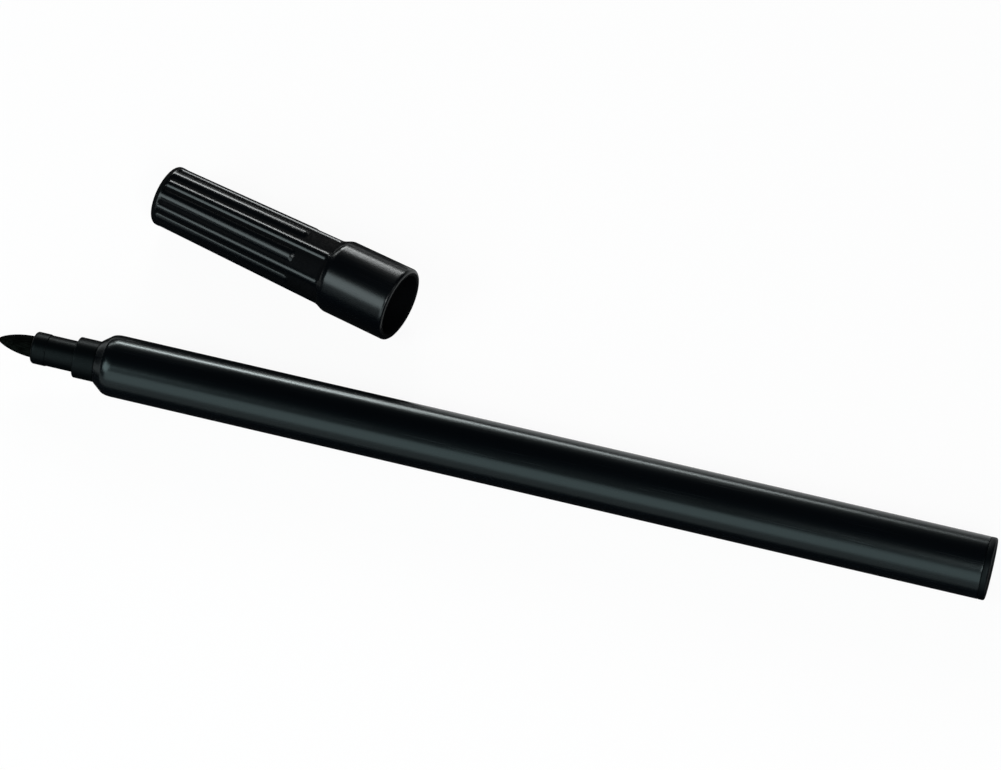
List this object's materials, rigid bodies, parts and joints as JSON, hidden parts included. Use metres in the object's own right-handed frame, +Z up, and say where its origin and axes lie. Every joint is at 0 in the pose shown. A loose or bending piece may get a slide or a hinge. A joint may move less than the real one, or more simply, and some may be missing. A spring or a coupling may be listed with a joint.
{
  "type": "fibre-tip pen",
  "caption": "Slim round fibre-tip pen lying on its side beside its pulled-off cap: smooth barrel, stepped nib holder, bullet nib, flat end plug, and a ribbed cap with a plain skirt.",
  "frame": {"origin": "on the surface the pen and its cap lie on, under the middle of the box round both", "axes": "+Z up from the surface; +X along the pen from its nib to its end plug; +Y from the pen to the cap that lies behind it"},
  "size_m": [0.14, 0.038, 0.0109],
  "materials": {
    "barrel_plastic": "polished moulded black polypropylene",
    "holder_plastic": "smooth moulded black polypropylene",
    "plug_plastic": "smooth moulded black polypropylene",
    "cap_plastic": "polished moulded black polypropylene",
    "liner_plastic": "plain moulded black polyethylene",
    "nib_fibre": "pressed fibre soaked with black ink",
    "reservoir_fibre": "bundled fibre soaked with black ink",
    "film": "thin clear-grey film"
  },
  "bodies": {
    "pen": {"barrel": "barrel_plastic", "nib_holder": "holder_plastic", "nib": "nib_fibre", "ink_reservoir": "reservoir_fibre", "reservoir_film": "film", "end_plug": "plug_plastic"},
    "cap": {"cap_shell": "cap_plastic", "inner_cap": "liner_plastic"}
  },
  "joints": [
    {"name": "cap_slide", "type": "slide", "parent": "pen", "child": "cap", "axis": [-0.9641, 0.2656, 0], "range_m": [0, 0.02725]}
  ]
}
